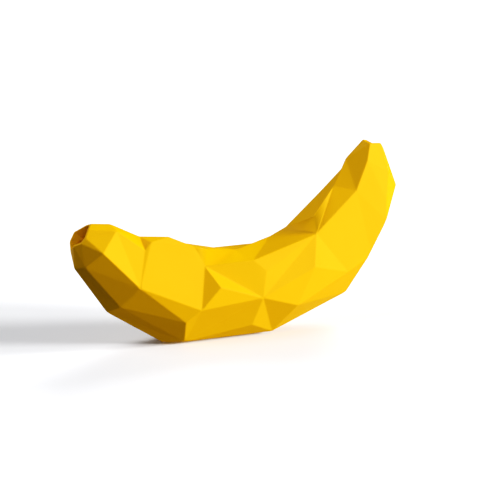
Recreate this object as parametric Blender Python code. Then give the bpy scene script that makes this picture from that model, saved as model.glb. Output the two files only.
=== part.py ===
"""A hollow chew toy in the shape of a banana: one piece of moulded yellow rubber with flat facets.

The toy lies on its outer bend with both ends turned up. +X runs along its length to the stem end,
-Y is the side that is seen first, and +Z is up, with the sole that it rests on at Z = 0.
"""
import bmesh
import bpy
from mathutils import Vector
from mathutils.geometry import normal

# Corner places and driving dimensions are in millimetres, and MM turns them into Blender's metres.
MM = 0.001
TOY_MIDDLE_UP = 20.0

# The bore: its centre line from the blossom end to the stem end, as (along, up, radius).
BORE_STATIONS = [
    (-80.0, 52.7, 4.6),
    (-73.0, 44.7, 6.2),
    (-58.0, 32.7, 10.0),
    (-34.0, 24.2, 13.5),
    (0.0, 21.7, 14.5),
    (34.0, 25.2, 13.5),
    (56.0, 37.7, 11.0),
    (70.0, 54.2, 8.5),
    (77.0, 70.2, 5.5),
    (79.5, 83.2, 3.2),
]
BORE_SIDES = 20
BORE_STEPS = 6

# Both ends are dished inside a thin lip: how far the dish reaches out of the end and into it, and
# how wide it is there as a share of the rim's own width.
DISH_OUT = 4.0
DISH_IN = 7.0
DISH_OUT_SHARE = 0.98
DISH_IN_SHARE = 0.66

# Corners that more than one section passes through, as (along, across, up).
NEAR_HIP = (-58.5, -17.0, 30.7)
NEAR_HEEL = (-35.5, -18.0, 12.2)
NEAR_FOOT = (-32.5, -10.5, 1.2)
LEFT_FOOT = (-41.5, -5.0, 1.2)
NEAR_NOTCH = (-23.5, -14.5, 37.2)
NEAR_BULGE = (-28.5, -20.5, 17.7)
NEAR_CREST = (1.0, -17.5, 38.2)
NEAR_WAIST = (4.5, -21.0, 20.2)
NEAR_TOE = (14.5, -12.5, 1.2)
NEAR_HOLLOW = (38.0, -15.0, 47.2)
NEAR_KNEE = (24.5, -20.0, 14.2)
NEAR_ANKLE = (60.0, -8.0, 14.7)
RIGHT_SADDLE = (32.0, 4.0, 48.2)
STEM_SHOULDER = (65.0, 1.0, 80.2)
STEM_RIDGE = (72.5, -7.5, 79.7)

# The sole that the toy rests on, a little below the corners around it.
SOLE_NEAR_LEFT = (-33.0, -3.0, 0.0)
SOLE_FAR_LEFT = (-33.0, 7.0, 0.0)
SOLE_FAR_MIDDLE = (-8.0, 10.0, 0.0)
SOLE_NEAR_RIGHT = (13.5, -5.0, 0.0)
SOLE_FAR_RIGHT = (17.0, 7.5, 0.0)

# Each section is a walk round the toy by the clock: 0 on the inner bend, 3 on the near side,
# 6 underneath and 9 on the far side. The far halves that more than one section shares come first.
FAR_LEFT = {
    7: (-38.0, 8.0, 1.2), 8: (-38.0, 18.0, 12.2), 9: (-34.0, 20.5, 26.2),
    10.5: (-36.0, 14.0, 42.2), 11.5: (-33.0, 5.0, 47.2),
}
FAR_MIDDLE = {
    7: (-8.0, 12.0, 1.2), 8: (-7.0, 19.0, 10.2), 9: (-6.0, 21.0, 25.2),
    10.5: (-6.0, 15.5, 37.2), 11.5: (-7.0, 7.0, 41.2),
}
FAR_RIGHT = {
    7: (19.0, 9.0, 1.2), 8: (25.0, 18.0, 12.2), 9: (28.0, 20.0, 26.2), 10.5: (32.0, 16.0, 39.2),
}
FAR_ARM = {
    7: (60.0, 6.0, 15.2), 8.5: (58.0, 16.0, 25.2), 10: (54.0, 16.5, 41.2),
}
FAR_TIP = {
    7: (91.0, 5.0, 58.2), 9: (83.0, 10.0, 61.2), 11: (72.0, 6.5, 79.2),
}

# Sections from the blossom end to the stem end.
SECTIONS = [
    # The rim of the mouth.
    {
        0: (-76.0, -2.5, 60.2), 1: (-79.0, -6.0, 58.2), 2: (-81.0, -7.0, 54.7), 3: (-83.0, -6.5, 52.2),
        4: (-85.5, -3.5, 50.7), 6: (-84.5, 2.0, 47.7), 8: (-83.0, 6.0, 51.2), 9.5: (-80.0, 7.5, 55.2),
        11: (-75.5, 3.5, 58.7),
    },
    # The neck behind the mouth.
    {
        0: (-67.5, -5.0, 59.7), 1.4: (-66.5, -9.5, 57.2), 2.9: (-75.5, -14.0, 48.2), 3.8: (-82.0, -8.0, 41.2),
        5: (-84.0, -1.0, 39.7), 7.5: (-79.5, 8.0, 41.2), 9: (-75.0, 13.5, 48.7), 11: (-67.5, 9.0, 55.7),
    },
    # The left arm.
    {
        0: (-53.0, -5.5, 52.7), 1.6: (-53.5, -12.0, 47.2), 2.8: NEAR_HIP, 4.2: (-65.0, -9.0, 21.2),
        6: (-69.0, -3.0, 18.2), 7.5: (-60.0, 11.0, 21.2), 9: (-56.0, 17.5, 32.2), 10.5: (-52.0, 13.0, 46.2),
        11.5: (-53.0, 4.0, 51.2),
    },
    # The raised corner on top of the left arm.
    {
        0: (-40.5, -10.5, 52.2), 1: (-50.0, -11.5, 50.7), 2.8: NEAR_HIP, 4: NEAR_HEEL, 5: NEAR_FOOT,
        6: LEFT_FOOT, **FAR_LEFT,
    },
    # The left shoulder.
    {
        0: (-28.0, -12.0, 46.7), 1.8: NEAR_NOTCH, 3: NEAR_BULGE, 4: NEAR_HEEL, 5: NEAR_FOOT,
        5.8: SOLE_NEAR_LEFT, 6.2: SOLE_FAR_LEFT, **FAR_LEFT,
    },
    # Left of the middle.
    {
        0: (-22.5, -14.0, 45.2), 1.8: NEAR_NOTCH, 2.4: (-18.5, -21.0, 27.7), 3: NEAR_BULGE, 4.5: NEAR_FOOT,
        5.8: SOLE_NEAR_LEFT, 6.2: SOLE_FAR_MIDDLE, **FAR_MIDDLE,
    },
    # The middle.
    {
        0: (-2.0, -6.0, 41.7), 1.8: NEAR_CREST, 2.2: NEAR_WAIST, 4.8: (1.0, -16.5, 6.7), 5: NEAR_FOOT,
        5.8: SOLE_NEAR_LEFT, 6.2: SOLE_FAR_MIDDLE, **FAR_MIDDLE,
    },
    # Right of the middle.
    {
        0: (22.5, 3.0, 44.7), 1.8: NEAR_CREST, 2.4: (7.5, -19.0, 32.7), 3: NEAR_WAIST, 4.9: NEAR_TOE,
        5.8: SOLE_NEAR_RIGHT, 6.2: SOLE_FAR_RIGHT, **FAR_RIGHT,
    },
    # The foot of the right arm.
    {
        0: RIGHT_SADDLE, 1.7: NEAR_HOLLOW, 3.2: (34.5, -19.5, 31.7), 4: NEAR_KNEE, 4.9: NEAR_TOE,
        5.8: SOLE_NEAR_RIGHT, 6.2: SOLE_FAR_RIGHT, **FAR_RIGHT,
    },
    # The right arm.
    {
        0: (38.5, -12.0, 55.7), 1.7: NEAR_HOLLOW, 3.4: (56.0, -16.0, 26.7), 4.5: NEAR_ANKLE,
        **FAR_ARM, 11.5: RIGHT_SADDLE,
    },
    # Half way up the right arm.
    {
        0: (55.5, -3.0, 67.7), 1.8: (64.0, -10.5, 65.7), 3.6: (71.0, -13.0, 36.2), 4: (69.5, -13.5, 32.2),
        4.5: NEAR_ANKLE, **FAR_ARM, 11.5: (55.5, 8.0, 64.2),
    },
    # The neck of the stem, on the inner bend.
    {
        0: STEM_SHOULDER, 1.8: STEM_RIDGE, 3: (83.0, -9.5, 59.2), 3.5: (82.0, -11.0, 49.2), **FAR_TIP,
    },
    # The neck of the stem, on the outer bend.
    {
        0: STEM_SHOULDER, 1.8: STEM_RIDGE, 2.8: (86.0, -6.5, 72.7), 4: (94.0, -2.0, 65.2), **FAR_TIP,
    },
    # The cut end of the stem.
    {
        0: (75.0, -0.5, 88.7), 1.5: (76.0, -4.5, 87.7), 2.5: (83.5, -3.0, 87.2), 3.5: (86.0, -1.5, 84.7),
        8: (83.5, 4.0, 86.2), 9.5: (80.0, 5.5, 88.2), 11: (77.0, 3.5, 88.7),
    },
]

RUBBER_COLOUR = (0.95, 0.60, 0.0, 1.0)
RUBBER_ROUGHNESS = 0.55


def clear_scene():
    """Remove every object that the file starts with."""
    for item in list(bpy.data.objects):
        bpy.data.objects.remove(item)


def new_collection(name):
    """Make a collection in the scene."""
    collection = bpy.data.collections.new(name)
    bpy.context.scene.collection.children.link(collection)
    return collection


def rubber():
    """The yellow rubber."""
    material = bpy.data.materials.new("yellow rubber")
    material.use_nodes = True
    shader = material.node_tree.nodes["Principled BSDF"]
    shader.inputs["Base Color"].default_value = RUBBER_COLOUR
    shader.inputs["Roughness"].default_value = RUBBER_ROUGHNESS
    shader.inputs["Metallic"].default_value = 0.0
    material.diffuse_color = RUBBER_COLOUR
    return material


def lace(first, second):
    """Join two sections with triangles, always going on to the corner that comes next by the clock."""
    near_walk = list(first.items()) + [(12, first[0])]
    next_walk = list(second.items()) + [(12, second[0])]
    facets = []
    a = 0
    b = 0
    while a + b < len(first) + len(second):
        here_a = near_walk[a][1]
        here_b = next_walk[b][1]
        if b == len(second) or (a < len(first) and near_walk[a + 1][0] <= next_walk[b + 1][0]):
            a += 1
            facets.append((here_a, near_walk[a][1], here_b))
        else:
            b += 1
            facets.append((here_a, next_walk[b][1], here_b))
    return [facet for facet in facets if len(set(facet)) == 3]


def outer_skin(collection):
    """The faceted outside: a loft through the unlike sections, closed across both ends."""
    mesh = bmesh.new()
    verts = {}
    for section in SECTIONS:
        for corner in section.values():
            if corner not in verts:
                verts[corner] = mesh.verts.new(Vector(corner) * MM)
    for first, second in zip(SECTIONS, SECTIONS[1:]):
        for facet in lace(first, second):
            mesh.faces.new([verts[corner] for corner in facet])
    for rim in (SECTIONS[0], SECTIONS[-1]):
        ring = list(rim.values())
        centre = sum((Vector(corner) for corner in ring), Vector()) / len(ring)
        hub = mesh.verts.new(centre * MM)
        for one, other in zip(ring, ring[1:] + ring[:1]):
            mesh.faces.new([verts[one], verts[other], hub])
    bmesh.ops.recalc_face_normals(mesh, faces=mesh.faces)
    data = bpy.data.meshes.new("shell")
    mesh.to_mesh(data)
    mesh.free()
    shell = bpy.data.objects.new("shell", data)
    collection.objects.link(shell)
    data.materials.append(rubber())
    return shell


def as_cutter(item):
    """Keep a cutter out of the finished toy."""
    item.hide_render = True
    item.display_type = "WIRE"
    return item


def bore(collection):
    """The hollow: a tube of changing width along the bend."""
    curve = bpy.data.curves.new("bore", "CURVE")
    curve.dimensions = "3D"
    curve.bevel_depth = MM
    curve.bevel_resolution = BORE_SIDES // 4 - 1
    curve.resolution_u = BORE_STEPS
    curve.use_fill_caps = True
    spline = curve.splines.new("BEZIER")
    spline.bezier_points.add(len(BORE_STATIONS) - 1)
    for point, (along, up, radius) in zip(spline.bezier_points, BORE_STATIONS):
        point.co = Vector((along, 0.0, up)) * MM
        point.radius = radius
        point.handle_left_type = "AUTO"
        point.handle_right_type = "AUTO"
    guide = bpy.data.objects.new("bore guide", curve)
    collection.objects.link(guide)
    bpy.context.view_layer.update()
    evaluated = guide.evaluated_get(bpy.context.evaluated_depsgraph_get())
    data = bpy.data.meshes.new_from_object(evaluated)
    welded = bmesh.new()
    welded.from_mesh(data)
    bmesh.ops.remove_doubles(welded, verts=welded.verts, dist=0.00001)
    bmesh.ops.recalc_face_normals(welded, faces=welded.faces)
    welded.to_mesh(data)
    welded.free()
    cutter = bpy.data.objects.new("bore", data)
    cutter.matrix_world = guide.matrix_world
    bpy.data.objects.remove(guide)
    collection.objects.link(cutter)
    return as_cutter(cutter)


def dish(name, section, collection):
    """The dish in one end: a funnel that follows the corners of the rim."""
    rim = [Vector(corner) for corner in section.values()]
    hub = sum(rim, Vector()) / len(rim)
    inward = normal(rim)
    if inward.dot(Vector((0.0, 0.0, TOY_MIDDLE_UP)) - hub) < 0.0:
        inward.negate()
    mesh = bmesh.new()
    rings = []
    for depth, share in ((-DISH_OUT, DISH_OUT_SHARE), (DISH_IN, DISH_IN_SHARE)):
        places = [hub + (corner - hub) * share + inward * depth for corner in rim]
        rings.append([mesh.verts.new(place * MM) for place in places])
        mesh.faces.new(rings[-1])
    for index in range(len(rim)):
        after = (index + 1) % len(rim)
        mesh.faces.new([rings[0][index], rings[0][after], rings[1][after], rings[1][index]])
    bmesh.ops.recalc_face_normals(mesh, faces=mesh.faces)
    bmesh.ops.triangulate(mesh, faces=mesh.faces)
    data = bpy.data.meshes.new(name)
    mesh.to_mesh(data)
    mesh.free()
    cutter = bpy.data.objects.new(name, data)
    collection.objects.link(cutter)
    return as_cutter(cutter)


def cut(piece, cutter):
    """Cut one shape out of a piece."""
    modifier = piece.modifiers.new(cutter.name, "BOOLEAN")
    modifier.object = cutter
    modifier.operation = "DIFFERENCE"
    modifier.solver = "EXACT"


def main():
    """Build the toy."""
    clear_scene()
    toy = new_collection("banana chew toy")
    cutters = new_collection("cutters")
    shell = outer_skin(toy)
    cut(shell, bore(cutters))
    cut(shell, dish("mouth dish", SECTIONS[0], cutters))
    cut(shell, dish("stem dish", SECTIONS[-1], cutters))


main()
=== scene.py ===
# %% [markdown]
# # A faceted banana chew toy
#
# The toy is one piece of moulded yellow rubber in the shape of a banana, cut into flat facets like a
# gem. It is hollow, with a mouth at the blossom end and a small hole in the stem, so that treats can
# be pressed in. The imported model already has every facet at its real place. This lesson dresses it:
# it rounds the edges as a mould does, gives the rubber its finish, and lights it like a shop picture.

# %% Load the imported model
import math

import bmesh
import bpy
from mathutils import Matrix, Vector
from mathutils.bvhtree import BVHTree


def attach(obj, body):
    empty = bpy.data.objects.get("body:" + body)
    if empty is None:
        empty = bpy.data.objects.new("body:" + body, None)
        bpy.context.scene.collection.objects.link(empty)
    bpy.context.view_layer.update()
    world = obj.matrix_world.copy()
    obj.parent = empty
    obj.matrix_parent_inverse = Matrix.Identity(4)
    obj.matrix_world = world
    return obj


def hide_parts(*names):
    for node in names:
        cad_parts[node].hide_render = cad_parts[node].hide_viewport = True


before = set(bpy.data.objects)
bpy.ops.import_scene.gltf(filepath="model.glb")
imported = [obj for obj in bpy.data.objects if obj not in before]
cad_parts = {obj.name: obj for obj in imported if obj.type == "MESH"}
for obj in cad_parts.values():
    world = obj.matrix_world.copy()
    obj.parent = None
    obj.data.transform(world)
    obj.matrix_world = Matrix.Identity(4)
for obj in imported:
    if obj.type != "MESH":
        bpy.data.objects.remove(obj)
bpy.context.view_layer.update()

# %% [markdown]
# ## The camera
#
# The picture was taken from the left of the toy and a little above it, from far away, so the two arms
# are nearly as large as each other. A long lens at 80 cm gives that look. A camera could be placed by
# typing three angles, but it is easier to name a point to look at and let Blender turn the camera
# there, because then one number moves one thing.

# %% Place the camera
CAMERA_AZIMUTH = math.radians(-30.0)
CAMERA_ELEVATION = math.radians(10.4)
CAMERA_DISTANCE = 0.8
CAMERA_LENS = 125.0
TOY_CENTRE = Vector((0.0, 0.0, 0.0452))
AIM_TO_THE_RIGHT = 0.00336


def direction(azimuth, elevation):
    """The way from the toy to a camera or a lamp at these angles."""
    level = math.cos(elevation)
    return Vector((math.sin(azimuth) * level, -math.cos(azimuth) * level, math.sin(elevation)))


camera_right = Vector((math.cos(CAMERA_AZIMUTH), math.sin(CAMERA_AZIMUTH), 0.0))
camera_place = TOY_CENTRE + direction(CAMERA_AZIMUTH, CAMERA_ELEVATION) * CAMERA_DISTANCE
camera_look = TOY_CENTRE + camera_right * AIM_TO_THE_RIGHT - camera_place
bpy.ops.object.camera_add(location=camera_place, rotation=camera_look.to_track_quat("-Z", "Y").to_euler())
camera = bpy.context.object
camera.name = "camera"
camera.data.lens = CAMERA_LENS
bpy.context.scene.camera = camera
print("the camera stands at", [round(number, 3) for number in camera_place])

# %% [markdown]
# ## The floor
#
# The toy lies on a white sweep with no visible edge. One very large plane does that, because the
# camera looks down at it and never reaches its end.

# %% Lay the floor
FLOOR_SIZE = 40.0

bpy.ops.mesh.primitive_plane_add(size=FLOOR_SIZE, location=(0.0, 0.0, 0.0))
floor = bpy.context.object
floor.name = "floor"
print("the floor is", FLOOR_SIZE, "m wide")

# %% [markdown]
# ## The rubber shell
#
# The shell is the toy itself. Its facets could be made again from nothing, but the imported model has
# them at exactly the right places, so a copy of it is the safest start. That copy is a heap of loose
# triangles. Merging the corners that share a place makes it one skin, and a limited dissolve takes
# out the lines inside each flat facet, so that only the real edges are left.

# %% Copy the shell and weld it
WELD_DISTANCE = 0.00001
SAME_FACET_ANGLE = math.radians(0.4)


def only(piece):
    """Select one object alone and make it the active one."""
    bpy.ops.object.select_all(action="DESELECT")
    piece.select_set(True)
    bpy.context.view_layer.objects.active = piece


only(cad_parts["shell"])
bpy.ops.object.duplicate()
shell = bpy.context.object
shell.name = "rubber_shell"
only(shell)
bpy.ops.object.mode_set(mode="EDIT")
bpy.ops.mesh.select_all(action="SELECT")
bpy.ops.mesh.remove_doubles(threshold=WELD_DISTANCE)
bpy.ops.mesh.dissolve_limited(angle_limit=SAME_FACET_ANGLE)
bpy.ops.object.mode_set(mode="OBJECT")
print("the shell has", len(shell.data.polygons), "faces")

# %% [markdown]
# ## Outside and inside
#
# Only the outside has facets: the hollow is smooth. The two can be told apart by looking out of each
# face. From the outside nothing is close by, while inside the hollow the other wall is near and faces
# another way. One look straight out isn't enough beside the mouth, where a face can look past the
# rim, so four slanted looks go with it. A count of the mesh's faces would be shorter to write, but it
# would break as soon as the model changes.

# %% Find the outer facets
HOLLOW_WIDTH = 0.035
RIM_WIDTH = 0.02
SAME_WAY = 0.4
STEP_OFF = 0.00001


def faces_a_wall(tree, face, way, reach):
    """Whether a look out of a face this way meets a wall that faces another way, within reach."""
    start = face.calc_center_median() + face.normal * STEP_OFF
    wall, wall_normal, _, distance = tree.ray_cast(start, way.normalized())
    return wall is not None and distance < reach and wall_normal.dot(face.normal) < SAME_WAY


def outer_faces(skin):
    """The faces of a mesh that look out into the open."""
    tree = BVHTree.FromBMesh(skin)
    open_faces = set()
    for face in skin.faces:
        along = face.calc_tangent_edge().normalized()
        across = face.normal.cross(along)
        slanted = [face.normal + side for side in (along, -along, across, -across)]
        closed = faces_a_wall(tree, face, face.normal, HOLLOW_WIDTH)
        if not closed and not any(faces_a_wall(tree, face, way, RIM_WIDTH) for way in slanted):
            open_faces.add(face)
    return open_faces


# %% [markdown]
# ## Rounded edges
#
# Rubber comes out of its mould with soft edges: no corner of it is as sharp as a cut gem's. A bevel
# with three steps gives each edge a rounding of under half a millimetre, and weighted normals keep
# the facets flat right up to it. Edges that hardly turn are left out, because a rounding there would
# not be seen, and the slim corners beside them would fold over. Where an edge still turns far after
# that, as on the lip of the mouth, it is shaded sharp.

# %% Round the facet edges
ROUNDING = 0.0004
ROUNDING_STEPS = 3
LEAST_TURN = math.radians(3.0)
SHARP_TURN = math.radians(25.0)
ROUND_PROFILE = 0.5
FLAT_WEIGHT = 100

only(shell)
bpy.ops.object.mode_set(mode="EDIT")
bpy.ops.mesh.select_mode(type="EDGE")
bpy.ops.mesh.select_all(action="DESELECT")
skin = bmesh.from_edit_mesh(shell.data)
outside = outer_faces(skin)
for edge in skin.edges:
    if outside.issuperset(edge.link_faces) and edge.calc_face_angle() > LEAST_TURN:
        edge.select_set(True)
bmesh.update_edit_mesh(shell.data)
bpy.ops.mesh.bevel(
    offset=ROUNDING, segments=ROUNDING_STEPS, profile=ROUND_PROFILE, affect="EDGES", clamp_overlap=False
)
bpy.ops.object.mode_set(mode="OBJECT")
bpy.ops.object.shade_smooth_by_angle(angle=SHARP_TURN)
weighting = shell.modifiers.new("weighting", "WEIGHTED_NORMAL")
weighting.weight = FLAT_WEIGHT
weighting.keep_sharp = True
bpy.ops.object.modifier_apply(modifier=weighting.name)
print("the rounded shell has", len(shell.data.polygons), "faces")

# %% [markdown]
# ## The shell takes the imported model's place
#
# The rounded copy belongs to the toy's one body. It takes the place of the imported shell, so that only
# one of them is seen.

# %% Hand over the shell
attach(shell, "root")
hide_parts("shell")
print("the rounded shell stands in for the packed one")

# %% [markdown]
# ## Sums written as Python
#
# Blender's materials are made of nodes, and a node for each plus and times is tiring to place. A
# small class around a socket lets the sums be written as Python, and each one adds its Math node.

# %% Wrap a socket
class Value:
    """A socket of a material, with the sums that are used on it."""

    def __init__(self, nodes, socket):
        self.nodes = nodes
        self.socket = socket

    def math(self, operation, first, second):
        return self.nodes.add("ShaderNodeMath", {"operation": operation}, {0: first, 1: second})

    def __add__(self, other):
        return self.math("ADD", self, other)

    def __radd__(self, other):
        return self.math("ADD", other, self)

    def __mul__(self, other):
        return self.math("MULTIPLY", self, other)

    def __rmul__(self, other):
        return self.math("MULTIPLY", other, self)


class Nodes:
    """The nodes of one material."""

    def __init__(self, name):
        self.material = bpy.data.materials.new(name)
        self.material.use_nodes = True
        self.tree = self.material.node_tree
        self.shader = self.tree.nodes["Principled BSDF"]

    def set(self, node, sockets):
        for key, value in sockets.items():
            if isinstance(value, Value):
                self.tree.links.new(value.socket, node.inputs[key])
            else:
                node.inputs[key].default_value = value

    def add(self, kind, settings=None, sockets=None, output=0):
        """Any node: its settings first, then the numbers or links of its sockets."""
        node = self.tree.nodes.new(kind)
        for key, value in (settings or {}).items():
            setattr(node, key, value)
        self.set(node, sockets or {})
        return Value(self, node.outputs[output])


# %% [markdown]
# ## Yellow rubber
#
# The rubber is a strong warm yellow all through, with the satin skin that a blasted mould leaves: a
# very fine grain, a faint unevenness where it cooled, and hardly any shine. The pattern could be
# painted on as a picture, but noise on the object's own coordinates needs no picture and has no
# seams, and it stays put when the camera moves.

# %% Mix the yellow rubber
YELLOW = (0.96, 0.535, 0.0, 1.0)
DEEP_YELLOW = (0.93, 0.50, 0.0, 1.0)
CLOUD_SIZE = 0.02
GRAIN_SIZE = 0.0004
GRAIN_DEPTH = 0.00002
NOISE_DETAIL = 2.0
SATIN = 0.5
SATIN_CHANGE = 0.1
SHINE = 0.05
MIXED_COLOUR = 2


def noise(nodes, place, size):
    """Soft random spots of about this size, fixed to the object."""
    sockets = {"Vector": place, "Scale": 1.0 / size, "Detail": NOISE_DETAIL}
    return nodes.add("ShaderNodeTexNoise", sockets=sockets)


rubber = Nodes("yellow rubber")
place = rubber.add("ShaderNodeTexCoord", output="Object")
clouds = noise(rubber, place, CLOUD_SIZE)
grain = noise(rubber, place, GRAIN_SIZE)
colour = rubber.add(
    "ShaderNodeMix", {"data_type": "RGBA"}, {"Factor": clouds, "A": YELLOW, "B": DEEP_YELLOW},
    output=MIXED_COLOUR,
)
relief = rubber.add("ShaderNodeBump", sockets={"Height": grain, "Strength": 1.0, "Distance": GRAIN_DEPTH})
rubber.set(rubber.shader, {
    "Base Color": colour,
    "Roughness": SATIN + SATIN_CHANGE * clouds,
    "Normal": relief,
    "Specular IOR Level": SHINE,
})
shell.data.materials.clear()
shell.data.materials.append(rubber.material)
print("the rubber has", len(rubber.tree.nodes), "nodes")

# %% [markdown]
# ## The white floor
#
# The sweep is plain white card. In the picture it is lit until it is pure white, and yet the underside
# of the toy stays deep yellow, as if hardly any of that white came back up. A card that bounces less
# would also look greyer, so the card is left out of the bounced light instead, and the little that
# does come up has lamps of its own below.

# %% Paint the floor
CARD_WHITE = (0.93, 0.94, 0.97, 1.0)
CARD_ROUGHNESS = 0.9

card = Nodes("white card")
card.set(card.shader, {"Base Color": CARD_WHITE, "Roughness": CARD_ROUGHNESS, "Specular IOR Level": 0.0})
floor.data.materials.append(card.material)
floor.visible_diffuse = False
floor.visible_shadow = False
print("the floor is left out of the toy's bounced light")

# %% [markdown]
# ## Lamps for the toy
#
# The main lamp is broad and comes from the right, a little to the front, so the facets that turn to it
# are bright. A softer lamp above the front and one behind on the left show the facets of the inner
# bend. Two weak ones shine up from below, in place of the light that the card throws back, which is
# warm because it has met the yellow rubber on its way. A real studio keeps its lamps off the sweep
# with flags, and light linking does the same here.

# %% Hang the toy's lamps
WHITE = (1.0, 1.0, 1.0)
WARM = (1.0, 0.88, 0.6)
MAIN_LIGHT = {"azimuth": 49.0, "elevation": 18.0, "power": 3.3, "spread": 35.0}
FRONT_LIGHT = {"azimuth": 0.0, "elevation": 60.0, "power": 0.7, "spread": 40.0}
BACK_LIGHT = {"azimuth": -136.0, "elevation": 45.0, "power": 1.3, "spread": 30.0}
RIGHT_BOUNCE = {"azimuth": 60.0, "elevation": -25.0, "power": 1.25, "spread": 30.0, "colour": WARM}
LEFT_BOUNCE = {"azimuth": -50.0, "elevation": -25.0, "power": 0.42, "spread": 30.0, "colour": WARM}


def lit_group(name, piece):
    """A collection that tells a lamp what it shines on."""
    group = bpy.data.collections.new(name)
    group.objects.link(piece)
    return group


def far_lamp(name, azimuth, elevation, power, spread, shines_on, colour=WHITE):
    """A lamp so far away that its light is the same everywhere."""
    way = direction(math.radians(azimuth), math.radians(elevation))
    bpy.ops.object.light_add(type="SUN", rotation=way.to_track_quat("Z", "Y").to_euler())
    lamp = bpy.context.object
    lamp.name = name
    lamp.data.energy = power
    lamp.data.color = colour
    lamp.data.angle = math.radians(spread)
    lamp.light_linking.receiver_collection = shines_on


toy_alone = lit_group("toy_alone", shell)
far_lamp("main_light", shines_on=toy_alone, **MAIN_LIGHT)
far_lamp("front_light", shines_on=toy_alone, **FRONT_LIGHT)
far_lamp("back_light", shines_on=toy_alone, **BACK_LIGHT)
far_lamp("right_bounce", shines_on=toy_alone, **RIGHT_BOUNCE)
far_lamp("left_bounce", shines_on=toy_alone, **LEFT_BOUNCE)
print("five lamps shine on the toy")

# %% [markdown]
# ## Lamps for the floor
#
# The floor has lamps of its own. Two low ones from the right draw the long soft shadow to the left,
# with a darker middle where both are hidden. Two broad ones behind keep that shadow pale. The same
# lamps could light both the toy and the floor, but then no change to the one would leave the other be.

# %% Hang the floor's lamps
LOW_LIGHT = {"azimuth": 52.0, "elevation": 11.0, "power": 5.4, "spread": 12.0}
SECOND_LOW_LIGHT = {"azimuth": 68.0, "elevation": 11.0, "power": 5.8, "spread": 12.0}
BACK_LEFT_LIGHT = {"azimuth": -100.0, "elevation": 40.0, "power": 1.1, "spread": 40.0}
BACK_RIGHT_LIGHT = {"azimuth": 135.0, "elevation": 30.0, "power": 2.1, "spread": 30.0}

floor_alone = lit_group("floor_alone", floor)
far_lamp("low_light", shines_on=floor_alone, **LOW_LIGHT)
far_lamp("second_low_light", shines_on=floor_alone, **SECOND_LOW_LIGHT)
far_lamp("back_left_light", shines_on=floor_alone, **BACK_LEFT_LIGHT)
far_lamp("back_right_light", shines_on=floor_alone, **BACK_RIGHT_LIGHT)
print("four lamps shine on the floor")

# %% [markdown]
# ## The room and the development
#
# A little light comes from all sides, so that nothing is quite black. The picture was developed with
# deep darks and strong colour. A curve over all three channels does that: it pulls the deepest darks
# down a little, lifts the middle a little and leaves the lights.

# %% Set the room and the curve
ROOM_LIGHT = 0.008
ALL_CHANNELS = 3
TONES = [(0.0, 0.0), (0.1, 0.08), (0.3, 0.32), (0.6, 0.67), (1.0, 1.0)]

room = bpy.data.worlds.new("room")
room.use_nodes = True
background = room.node_tree.nodes["Background"]
background.inputs["Color"].default_value = (*WHITE, 1.0)
background.inputs["Strength"].default_value = ROOM_LIGHT
bpy.context.scene.world = room

view = bpy.context.scene.view_settings
view.view_transform = "Standard"
view.use_curve_mapping = True
all_channels = view.curve_mapping.curves[ALL_CHANNELS]
all_channels.points[0].location = TONES[0]
all_channels.points[1].location = TONES[-1]
for tone in TONES[1:-1]:
    all_channels.points.new(*tone)
view.curve_mapping.update()
print("the curve has", len(all_channels.points), "points")

# %% [markdown]
# ## The end
#
# A last line tells that the script has run through.

# %% Finish
print("the script has run through")
